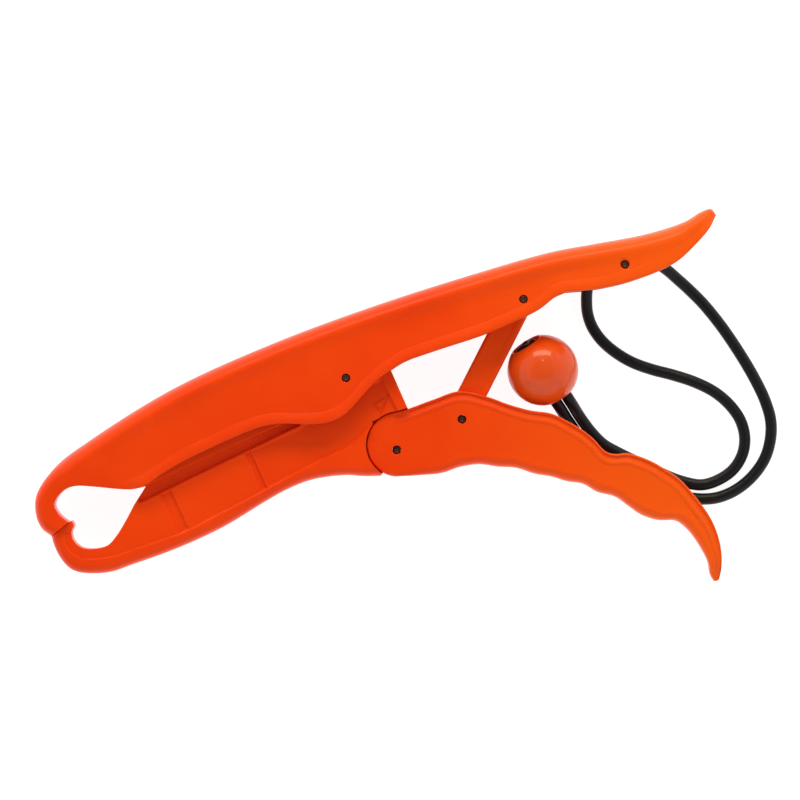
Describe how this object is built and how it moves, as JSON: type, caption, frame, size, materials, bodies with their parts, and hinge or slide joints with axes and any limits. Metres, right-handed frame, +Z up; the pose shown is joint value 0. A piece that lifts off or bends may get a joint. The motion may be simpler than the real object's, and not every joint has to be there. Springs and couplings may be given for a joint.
{
  "type": "lip grip",
  "caption": "Hand-held fish lip grip with a hooked body, a pivoting lower jaw, a toggle handle with its link, and a wrist lanyard with a float ball.",
  "frame": {"origin": "middle of the tool's footprint on its resting side face, lanyard left out", "axes": "+X from the jaws towards the handles, +Y from the lower handle towards the body's back, +Z up from the resting side face, along the pivot pins"},
  "size_m": [0.2792, 0.14, 0.03],
  "materials": {
    "orange_plastic": "moulded, satin gloss",
    "pin_steel": "plain drawn wire, cut ends",
    "black_cord": "matte",
    "ball_plastic": "high gloss"
  },
  "bodies": {
    "upper_body": {"upper_body": "orange_plastic", "jaw_pivot_pin": "pin_steel", "link_upper_pin": "pin_steel", "lanyard_pin": "pin_steel"},
    "lower_jaw": {"lower_jaw": "orange_plastic"},
    "lower_handle": {"lower_handle": "orange_plastic", "handle_pivot_pin": "pin_steel", "link_lower_pin": "pin_steel"},
    "toggle_link": {"toggle_link": "orange_plastic"},
    "lanyard": {"lanyard_cord": "black_cord", "lanyard_knot": "black_cord", "float_ball": "ball_plastic"}
  },
  "joints": [
    {"name": "jaw_hinge", "type": "hinge", "parent": "upper_body", "child": "lower_jaw", "pos_m": [-0.012, 0.0065, 0.015], "axis": [0, 0, 1], "range_deg": [0, 14]},
    {"name": "handle_hinge", "type": "hinge", "parent": "lower_jaw", "child": "lower_handle", "pos_m": [0.007, -0.0205, 0.015], "axis": [0, 0, 1], "range_deg": [-33.5, 0]},
    {"name": "link_hinge", "type": "hinge", "parent": "upper_body", "child": "toggle_link", "pos_m": [0.0545, 0.036, 0.015], "axis": [0, 0, 1], "range_deg": [0, 10.5]},
    {"name": "lanyard_swing", "type": "hinge", "parent": "upper_body", "child": "lanyard", "pos_m": [0.0925, 0.049, 0.015], "axis": [0, 0, 1], "range_deg": [0, 4.5]}
  ],
  "couplings": [
    {"joint": "handle_hinge", "follows": "jaw_hinge", "ratio": -2.37},
    {"joint": "link_hinge", "follows": "jaw_hinge", "ratio": 0.73},
    {"joint": "lanyard_swing", "follows": "jaw_hinge", "ratio": 0.3}
  ]
}
